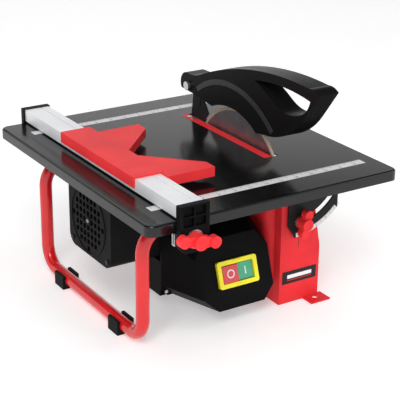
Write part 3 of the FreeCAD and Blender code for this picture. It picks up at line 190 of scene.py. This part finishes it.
def diamond_grit():
    """Pale sintered rim with dark grains."""
    nodes = Nodes("diamond_grit")
    cells = nodes.add("ShaderNodeTexVoronoi")
    cells.inputs["Scale"].default_value = 1500
    nodes.link(nodes.place, cells.inputs["Vector"])
    grains = nodes.spread(cells.outputs["Distance"], 0, 1, 0.1, 0.6)
    nodes.link(nodes.mix(grains, (0.20, 0.15, 0.11), (0.62, 0.52, 0.40)),
               nodes.shader.inputs["Base Color"])
    nodes.link(nodes.spread(grains, 0.45, 0.75, 0, 1), nodes.shader.inputs["Roughness"])
    nodes.bump(cells.outputs["Distance"], 0.15 * MM, 0.8)
    nodes.shader.inputs["Metallic"].default_value = 0.3
    return nodes.material


RED = (0.78, 0.022, 0.030)
SOFT_GLOSS = {"Specular_IOR_Level": 0.12}
DEEP_BLACK = {"Specular_IOR_Level": 0.04, "wear": 0.012}
ALONG_Y = (1, 0.02, 1)

MATERIALS = {
    "red_steel": finish("red_steel", RED, 0.34, grain=500, depth=0.03, **SOFT_GLOSS),
    "red_tube": finish("red_tube", (0.68, 0.008, 0.011), 0.22, grain=400, Coat_Weight=0.25),
    "red_plastic": finish("red_plastic", (0.95, 0.030, 0.036), 0.42, grain=1200, **SOFT_GLOSS),
    "black_table": finish("black_table", (0.003, 0.003, 0.0035), 0.17, grain=260, depth=0.004,
                          vary=0.2, wear=0.01, Specular_IOR_Level=0.42),
    "black_steel": finish("black_steel", (0.005, 0.005, 0.006), 0.35, grain=600, **SOFT_GLOSS),
    "black_plastic": finish("black_plastic", (0.004, 0.004, 0.0045), 0.46, grain=1600, depth=0.05,
                            **DEEP_BLACK),
    "guard_plastic": finish("guard_plastic", (0.003, 0.003, 0.0035), 0.30, grain=1300,
                            depth=0.03, **DEEP_BLACK),
    # the rib's dark tone, lighter than the guard's black, is partly painted sheen on a black
    # glossy band
    "rib_dark_with_painted_sheen": finish("rib_dark_with_painted_sheen", (0.020, 0.020, 0.024), 0.38, grain=1300,
                       Specular_IOR_Level=0.25),
    "yellow_plastic": finish("yellow_plastic", (1.0, 0.86, 0.01), 0.33, grain=1200),
    "stop_red": finish("stop_red", (0.72, 0.045, 0.050), 0.14, grain=700,
                       Subsurface_Weight=0.15, Coat_Weight=0.6),
    "start_green": finish("start_green", (0.035, 0.40, 0.21), 0.14, grain=700,
                          Subsurface_Weight=0.15, Coat_Weight=0.6),
    "aluminium": finish("aluminium", (0.93, 0.94, 0.97), 0.42, grain=900, depth=0.01, vary=0.05,
                        stretch=ALONG_Y, Metallic=0.35),
    "zinc": finish("zinc", (0.55, 0.55, 0.55), 0.26, grain=700, Metallic=0.95),
    "steel": finish("steel", (0.46, 0.46, 0.47), 0.28, grain=800, Metallic=1.0),
    "laminations": finish("laminations", (0.25, 0.25, 0.26), 0.45, grain=1500,
                          stretch=(1, 0.02, 0.02), Metallic=0.9),
    "copper": finish("copper", (0.62, 0.22, 0.09), 0.35, grain=1500, Metallic=0.9),
    "rule_print": finish("rule_print", (0.74, 0.74, 0.75), 0.36, grain=900, vary=0.04),
    "name_plate": finish("name_plate", (0.012, 0.012, 0.013), 0.35, grain=900, **SOFT_GLOSS),
    "capacitor": finish("capacitor", (0.72, 0.72, 0.70), 0.40, grain=900),
    "white_ink": finish("white_ink", (0.85, 0.85, 0.86), 0.40, grain=1200, vary=0.03),
    "black_ink": finish("black_ink", (0.02, 0.02, 0.025), 0.45, grain=1200),
    "blade_steel": blade_steel(),
    "diamond_grit": diamond_grit(),
}


def dress_frame():
    """Gives every node of the model the material of its slot."""
    slots = {part["node"]: part["material_slot"] for part in frame["record"]["subparts"]}
    for name, item in frame["nodes"].items():
        item.data.materials.clear()
        item.data.materials.append(MATERIALS[slots[name]])


# --- mesh helpers ------------------------------------------------------------------------------

SHARP_ANGLE = math.radians(35)


def piece(name, mesh, body, material, smooth=True):
    """Turns a bmesh into an object that rides on a body of the model."""
    bmesh.ops.recalc_face_normals(mesh, faces=mesh.faces)
    data = bpy.data.meshes.new(name)
    mesh.to_mesh(data)
    mesh.free()
    item = bpy.data.objects.new(name, data)
    bpy.context.scene.collection.objects.link(item)
    data.materials.append(MATERIALS[material])
    if smooth:
        data.shade_smooth()
        data.set_sharp_from_angle(angle=SHARP_ANGLE)
    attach(item, body)


def at(origin, across, up):
    """A frame whose X is across, whose Y is up and whose Z is their cross product."""
    out = across.cross(up)
    matrix = Matrix((across, up, out)).transposed().to_4x4()
    matrix.translation = origin
    return matrix


def lathe(mesh, profile, matrix, segments=72):
    """Revolves a closed profile of (radius, height) about the frame's Z."""
    rings = []
    for step in range(segments):
        angle = 2 * math.pi * step / segments
        rings.append([mesh.verts.new(matrix @ Vector((radius * math.cos(angle),
                                                      radius * math.sin(angle), height)))
                      for radius, height in profile])
    count = len(profile)
    for step, ring in enumerate(rings):
        following = rings[(step + 1) % segments]
        for corner in range(count):
            after = (corner + 1) % count
            mesh.faces.new((ring[corner], following[corner], following[after], ring[after]))


def washer_profile(inner, outer, thick, edge):
    """A flat ring with its outer and inner edges broken."""
    return ((inner, 0), (outer, 0), (outer, thick - edge), (outer - edge, thick),
            (inner + edge, thick), (inner, thick - edge))


def sweep(mesh, points, normals, across, profile):
    """Carries a closed profile of (sideways, outwards) along an open path."""
    rings = [[mesh.verts.new(point + across * side + normal * rise) for side, rise in profile]
             for point, normal in zip(points, normals)]
    count = len(profile)
    for ring, following in zip(rings, rings[1:]):
        for corner in range(count):
            after = (corner + 1) % count
            mesh.faces.new((ring[corner], following[corner], following[after], ring[after]))
    mesh.faces.new(rings[0])
    mesh.faces.new(reversed(rings[-1]))


def slab(mesh, outline, matrix, thick, edge):
    """An extruded outline with its upper edge broken."""
    centre = sum((Vector(point) for point in outline), Vector((0, 0))) / len(outline)
    reach = max((Vector(point) - centre).length for point in outline)
    levels = ((0, 1), (thick - edge, 1), (thick, 1 - edge / reach))
    rings = []
    for height, scale in levels:
        ring = []
        for point in outline:
            spot = centre + (Vector(point) - centre) * scale
            ring.append(mesh.verts.new(matrix @ Vector((spot.x, spot.y, height))))
        rings.append(ring)
    count = len(outline)
    for ring, following in zip(rings, rings[1:]):
        for corner in range(count):
            after = (corner + 1) % count
            mesh.faces.new((ring[corner], ring[after], following[after], following[corner]))
    mesh.faces.new(reversed(rings[0]))
    mesh.faces.new(rings[-1])


def oblong(width, height, centre=(0, 0), corner=0.0, steps=4):
    """A rectangle with round corners, as a list of points."""
    points = []
    for turn, (sign_x, sign_y) in enumerate(((1, 1), (-1, 1), (-1, -1), (1, -1))):
        x = centre[0] + sign_x * (width / 2 - corner)
        y = centre[1] + sign_y * (height / 2 - corner)
        if corner == 0:
            points.append((x, y))
            continue
        for step in range(steps + 1):
            angle = math.pi / 2 * (turn + step / steps)
            points.append((x + corner * math.cos(angle), y + corner * math.sin(angle)))
    return points


def add_text(mesh, text, matrix, height, thick):
    """Adds a number, centred on the frame's origin."""
    curve = bpy.data.curves.new("number", "FONT")
    curve.body = text
    curve.size = height
    curve.extrude = thick / 2
    curve.align_x = "CENTER"
    curve.align_y = "CENTER"
    item = bpy.data.objects.new("number", curve)
    data = bpy.data.meshes.new_from_object(item)
    data.transform(matrix)
    mesh.from_mesh(data)
    bpy.data.objects.remove(item)
    bpy.data.curves.remove(curve)
    bpy.data.meshes.remove(data)


# --- blade and guard ---------------------------------------------------------------------------

RIM_WIDTH = 3 * MM
RIM_PROUD = 0.15 * MM
RIM_SEGMENTS = 180


def diamond_rim():
    """Sintered rim that wraps the edge of the disc."""
    thick = BLADE_HIGH.x - BLADE_LOW.x + 2 * RIM_PROUD
    outer = BLADE_RADIUS + RIM_PROUD
    profile = ((outer - RIM_WIDTH, -thick / 2), (outer, -thick / 2), (outer, thick / 2),
               (outer - RIM_WIDTH, thick / 2))
    mesh = bmesh.new()
    lathe(mesh, profile, at(ARBOR, BACK, UP), RIM_SEGMENTS)
    piece("diamond_rim", mesh, "rotor", "diamond_grit")


def arc_path(centre, radius, start, end, x, steps=40):
    """Points and outward normals along an arc in a plane of constant x; angles in degrees."""
    points, normals = [], []
    for step in range(steps + 1):
        angle = math.radians(start + (end - start) * step / steps)
        normal = Vector((0, math.cos(angle), math.sin(angle)))
        normals.append(normal)
        points.append(Vector((x, centre.y, centre.z)) + normal * radius)
    return points, normals


def arc_through(first, second, third, steps):
    """Points of the circular arc through three (y, z) points."""
    (ax, ay), (bx, by), (cx, cy) = first, second, third
    scale = 2 * (ax * (by - cy) + bx * (cy - ay) + cx * (ay - by))
    a, b, c = ax * ax + ay * ay, bx * bx + by * by, cx * cx + cy * cy
    centre = Vector(((a * (by - cy) + b * (cy - ay) + c * (ay - by)) / scale,
                     (a * (cx - bx) + b * (ax - cx) + c * (bx - ax)) / scale))
    radius = (Vector(first) - centre).length
    start = math.atan2(ay - centre.y, ax - centre.x)
    end = math.atan2(cy - centre.y, cx - centre.x)
    angles = [start + (end - start) * step / steps for step in range(steps + 1)]
    return [(centre.x + radius * math.cos(angle), centre.y + radius * math.sin(angle))
            for angle in angles], centre


# crest of the guard above the table, from its shoulder to the end of the handle
CREST = ((66 * MM, 62.5 * MM), (-42 * MM, 95 * MM), (-148 * MM, 100.8 * MM))
RIB_RADIUS = 122 * MM
RIB_WIDTH = 7 * MM
RIB_PROUD = 0.9 * MM
RIB_START, RIB_END = 54, 133.5  # degrees above the level line to the back
RIB_EDGE = 0.5 * MM
RIB_SUNK = 0.2 * MM


def guard_ribs():
    """Raised band on each side of the guard, concentric with the blade."""
    # the band is black and glossy; its tone, lighter than the guard's, is partly painted sheen
    half, edge = RIB_WIDTH / 2, RIB_EDGE
    for side, name in ((-1, "left_guard_rib"), (1, "right_guard_rib")):
        mesh = bmesh.new()
        face = side * (GUARD_SIDE - RIB_SUNK)
        points, normals = arc_path(ARBOR, RIB_RADIUS, RIB_START, RIB_END, face)
        proud = side * (RIB_PROUD + RIB_SUNK)
        profile = ((0, -half), (proud - side * edge, -half), (proud, -half + edge),
                   (proud, half - edge), (proud - side * edge, half), (0, half))
        sweep(mesh, points, normals, RIGHT, profile)
        piece(name, mesh, "guard", "rib_dark_with_painted_sheen")


SEAM_HALF = 0.45 * MM
SEAM_PROUD = 0.12 * MM
SEAM_SUNK = 0.5 * MM


def guard_seam():
    """Dark joint line between the halves, along the crest."""
    path, centre = arc_through(*CREST, steps=36)
    points = [Vector((0, y, TABLE_TOP + z)) for y, z in path]
    normals = [Vector((0, y - centre.x, z - centre.y)).normalized() for y, z in path]
    crown = SEAM_HALF * 0.6
    profile = ((-SEAM_HALF, -SEAM_SUNK), (SEAM_HALF, -SEAM_SUNK), (crown, SEAM_PROUD),
               (-crown, SEAM_PROUD))
    mesh = bmesh.new()
    sweep(mesh, points, normals, RIGHT, profile)
    piece("guard_seam", mesh, "guard", "black_ink")


# --- switch ------------------------------------------------------------------------------------

STOP_INNER, STOP_OUTER = 3.6 * MM, 4.9 * MM
START_WIDTH = 1.4 * MM
MARK_THICK = 0.25 * MM
TAB_WIDTH, TAB_HEIGHT, TAB_THICK = 9 * MM, 2.6 * MM, 0.9 * MM
TAB_INSET = 1.6 * MM

def outer_face(node):
    """The frame of a switch part's outer face, and its width and height."""
    points = [vertex.co for vertex in frame["nodes"][node].data.vertices]
    across = [point.dot(RIGHT) for point in points]
    up = [point.dot(SWITCH_UP) for point in points]
    out = max(point.dot(SWITCH_OUT) for point in points)
    centre = (RIGHT * (max(across) + min(across)) / 2 + SWITCH_UP * (max(up) + min(up)) / 2
              + SWITCH_OUT * out)
    return at(centre, RIGHT, SWITCH_UP), max(across) - min(across), max(up) - min(up)


def stop_mark():
    """Ring printed on the stop button."""
    face, _, _ = outer_face("stop_button")
    mesh = bmesh.new()
    lathe(mesh, washer_profile(STOP_INNER, STOP_OUTER, MARK_THICK, 0.1 * MM), face, 48)
    piece("stop_mark", mesh, "stop_key", "white_ink")


def start_mark():
    """Bar printed on the start button."""
    face, _, height = outer_face("start_button")
    mesh = bmesh.new()
    outline = oblong(START_WIDTH, height * 0.45, corner=0.6 * MM)
    slab(mesh, outline, face, MARK_THICK, 0.08 * MM)
    piece("start_mark", mesh, "start_key", "white_ink")


def switch_tabs():
    """Two small latches in the middle of the yellow frame's long sides."""
    face, _, height = outer_face("switch_frame")
    mesh = bmesh.new()
    for side in (-1, 1):
        centre = (0, side * (height / 2 - TAB_INSET))
        outline = oblong(TAB_WIDTH, TAB_HEIGHT, centre, 1 * MM)
        slab(mesh, outline, face, TAB_THICK, 0.4 * MM)
    piece("switch_tabs", mesh, "base", "yellow_plastic")


# --- printed scales ----------------------------------------------------------------------------

TICK_THICK = 0.08 * MM
TICK_STEP = 2 * MM
RULE_MARGIN = 4 * MM
TICK_SHORT, TICK_LONG = 2.6 * MM, 4.4 * MM
TICK_THIN, TICK_WIDE = 0.28 * MM, 0.45 * MM
DIGIT_HEIGHT, DIGIT_RISE = 4.6 * MM, 3.4 * MM


def rule_marks(node):
    """Ticks every two millimetres and numbers every twenty on one of the table's rules."""
    low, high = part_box(node)
    top = at(Vector((0, 0, high.z - TICK_THICK / 2)), RIGHT, BACK)
    mesh = bmesh.new()
    start, end = low.x + RULE_MARGIN, high.x - RULE_MARGIN
    for index in range(int((end - start) / TICK_STEP) + 1):
        x = start + index * TICK_STEP
        long_mark = index % 5 == 0
        reach = TICK_LONG if long_mark else TICK_SHORT
        width = TICK_WIDE if long_mark else TICK_THIN
        centre = (x, high.y - reach / 2 - 0.4 * MM)
        slab(mesh, oblong(width, reach, centre), top, TICK_THICK, TICK_THICK / 4)
        if index % 10 == 0 and index:
            spot = Matrix.Translation(Vector((x, low.y + DIGIT_RISE, high.z)))
            add_text(mesh, str(index // 5), spot, DIGIT_HEIGHT, TICK_THICK)
    piece(node + "_marks", mesh, "table", "black_ink", smooth=False)


# --- small hardware ----------------------------------------------------------------------------

GRILLE_RADIUS = 38.5 * MM
GRILLE_DROP = 7 * MM
GRILLE_RING = 2.4 * MM
GRILLE_THICK, GRILLE_EDGE = 1.2 * MM, 0.5 * MM
GRILLE_HUB = 6 * MM
COVER_SUNK = 0.4 * MM


def disc_profile(radius, thick, edge):
    """A plain washer with a small bore, because its screw fills it."""
    return washer_profile(0.8 * MM, radius, thick, edge)


def grille_trim():
    """Raised ring round the air grille, its hub and the screw in the hub."""
    cover_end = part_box("fan_cover")[0].x + COVER_SUNK
    face = at(Vector((cover_end, ARBOR.y, ARBOR.z - GRILLE_DROP)), -BACK, UP)
    mesh = bmesh.new()
    ring = washer_profile(GRILLE_RADIUS, GRILLE_RADIUS + GRILLE_RING, GRILLE_THICK, GRILLE_EDGE)
    lathe(mesh, ring, face, 96)
    lathe(mesh, disc_profile(GRILLE_HUB, GRILLE_THICK, GRILLE_EDGE), face, 36)
    piece("grille_trim", mesh, "base", "black_plastic")
    mesh = bmesh.new()
    lathe(mesh, disc_profile(2.2 * MM, 1.7 * MM, 0.6 * MM), face, 24)
    piece("grille_screw", mesh, "base", "zinc")


def clamp_washer(name, knob, clamp, body):
    """Pale washer between a clamp and its knob."""
    spot = middle(knob)
    low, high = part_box(clamp)
    front = spot.y < 0
    face = low.y if front else high.y
    across = RIGHT if front else -RIGHT
    plane = at(Vector((middle(clamp).x, face, spot.z)), across, UP)
    mesh = bmesh.new()
    lathe(mesh, washer_profile(3.4 * MM, 9 * MM, 0.3 * MM, 0.1 * MM), plane, 48)
    piece(name, mesh, body, "white_ink")


DARK_LINE_RIGHT, DARK_LINE_RISE = 12 * MM, 73.5 * MM
DARK_LINE_WIDTH, DARK_LINE_HEIGHT = 0.9 * MM, 11 * MM


def column_dark_line():
    """A thin dark line laid on the column, under the tilt bracket."""
    column_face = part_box("name_plate")[1].y
    face = at(Vector((DARK_LINE_RIGHT, column_face, DARK_LINE_RISE)), RIGHT, UP)
    mesh = bmesh.new()
    outline = oblong(DARK_LINE_WIDTH, DARK_LINE_HEIGHT, corner=0.3 * MM)
    slab(mesh, outline, face, 0.2 * MM, 0.05 * MM)
    piece("column_dark_line", mesh, "base", "black_ink")


def plate_symbol():
    """A plain pale bar over a red line on the label."""
    low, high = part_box("name_plate")
    centre = (low + high) / 2
    width = (high.x - low.x) * 0.72
    face = at(Vector((centre.x, low.y, centre.z)), RIGHT, UP)
    for name, rise, height, material in (("plate_bar", 0.8, 4.6, "white_ink"),
                                         ("plate_line", -3.6, 0.8, "red_steel")):
        mesh = bmesh.new()
        outline = oblong(width, height * MM, (0, rise * MM), 0.35 * MM)
        slab(mesh, outline, face, 0.12 * MM, 0.04 * MM)
        piece(name, mesh, "base", material)


TILT_TICKS = range(0, 46, 5)
SCALE_START = -87  # degrees, where the scale reads nought
SCALE_RADIUS = 85 * MM


def tilt_marks():
    """Degree marks on the curved scale, at right angles to it."""
    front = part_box("tilt_scale")[0].y
    mesh = bmesh.new()
    for degrees in TILT_TICKS:
        angle = math.radians(SCALE_START + degrees)
        out = Vector((math.cos(angle), 0, math.sin(angle)))
        across = Vector((-out.z, 0, out.x))
        reach = (4 if degrees % 15 == 0 else 2.4) * MM
        spot = Vector((0, front, TABLE_TOP)) + out * SCALE_RADIUS
        slab(mesh, oblong(0.5 * MM, reach), at(spot, across, out), TICK_THICK, TICK_THICK / 4)
    piece("tilt_marks", mesh, "table", "black_ink", smooth=False)


# --- studio ------------------------------------------------------------------------------------

CAMERA_PLACE = Vector((-0.7745, -1.1371, 0.6464))
CAMERA_YAW, CAMERA_PITCH, CAMERA_ROLL = 0.565, 0.384, 0.010
CAMERA_LENS = 110.49
CAMERA_SENSOR = 36.0


def add_camera():
    """The camera at the catalogue view: from the front left, a little above."""
    yaw, pitch, roll = CAMERA_YAW, CAMERA_PITCH, CAMERA_ROLL
    ahead = Vector((math.sin(yaw) * math.cos(pitch), math.cos(yaw) * math.cos(pitch),
                    -math.sin(pitch)))
    level = Vector((math.cos(yaw), -math.sin(yaw), 0))
    above = level.cross(ahead)
    side = level * math.cos(roll) + above * math.sin(roll)
    top = above * math.cos(roll) - level * math.sin(roll)
    data = bpy.data.cameras.new("camera")
    data.lens = CAMERA_LENS
    data.sensor_width = CAMERA_SENSOR
    camera = bpy.data.objects.new("camera", data)
    matrix = Matrix((side, top, -ahead)).transposed().to_4x4()
    matrix.translation = CAMERA_PLACE
    camera.matrix_world = matrix
    bpy.context.scene.collection.objects.link(camera)
    bpy.context.scene.camera = camera


def add_light(name, place, size, power):
    """A rectangular lamp that faces the object; its size in metres and its power in watts."""
    data = bpy.data.lights.new(name, "AREA")
    data.shape = "RECTANGLE"
    data.size, data.size_y = size
    data.energy = power
    item = bpy.data.objects.new(name, data)
    item.location = place
    ahead = Vector(LIGHT_TARGET) - Vector(place)
    item.rotation_euler = ahead.to_track_quat("-Z", "Y").to_euler()
    bpy.context.scene.collection.objects.link(item)


FLOOR_REACH = 4.0
LIGHT_TARGET = (-0.05, 0, 0.12)
# brightness of the surroundings against the sine of the height above the horizon
SKY = ((0.0, 1.15), (0.325, 1.05), (0.375, 0.03), (0.75, 0.03), (0.95, 0.9))


def add_studio():
    """Pale floor, pale surroundings and three soft lights."""
    data = bpy.data.meshes.new("floor")
    reach = FLOOR_REACH
    data.from_pydata([(-reach, -reach, 0), (reach, -reach, 0), (reach, reach, 0),
                      (-reach, reach, 0)], [], [(0, 1, 2, 3)])
    floor = bpy.data.objects.new("floor", data)
    bpy.context.scene.collection.objects.link(floor)
    data.materials.append(finish("floor", (0.90, 0.90, 0.90), 0.7, grain=40, vary=0.01, wear=0,
                                 Emission_Color=(1, 1, 1, 1), Emission_Strength=0.35))
    world = bpy.data.worlds.new("studio")
    bpy.context.scene.world = world
    world.use_nodes = True
    tree = world.node_tree
    split = tree.nodes.new("ShaderNodeSeparateXYZ")
    tree.links.new(tree.nodes.new("ShaderNodeTexCoord").outputs["Generated"], split.inputs[0])
    ramp = tree.nodes.new("ShaderNodeValToRGB")
    for place, grey in SKY[1:-1]:
        ramp.color_ramp.elements.new(place).color = (grey, grey, grey, 1)
    for index in (0, -1):
        ramp.color_ramp.elements[index].position = SKY[index][0]
        ramp.color_ramp.elements[index].color = (*[SKY[index][1]] * 3, 1)
    tree.links.new(split.outputs["Z"], ramp.inputs["Fac"])
    tree.links.new(ramp.outputs["Color"], tree.nodes["Background"].inputs["Color"])
    add_light("key", (-1.3, -1.5, 1.9), (1.2, 1.2), 36)
    add_light("fill", (1.8, -1.2, 1.2), (1.4, 1.4), 13)
    add_light("back", (0.3, 1.9, 1.7), (1.8, 0.9), 7)
    bpy.context.scene.view_settings.view_transform = "Standard"


# --- assembly ----------------------------------------------------------------------------------

dress_frame()
diamond_rim()
guard_ribs()
guard_seam()
stop_mark()
start_mark()
switch_tabs()
rule_marks("front_rule")
rule_marks("rear_rule")
grille_trim()
clamp_washer("front_clamp_washer", "front_clamp_knob", "front_fence_clamp", "fence")
clamp_washer("rear_clamp_washer", "rear_clamp_knob", "rear_fence_clamp", "fence")
column_dark_line()
plate_symbol()
tilt_marks()
add_camera()
add_studio()
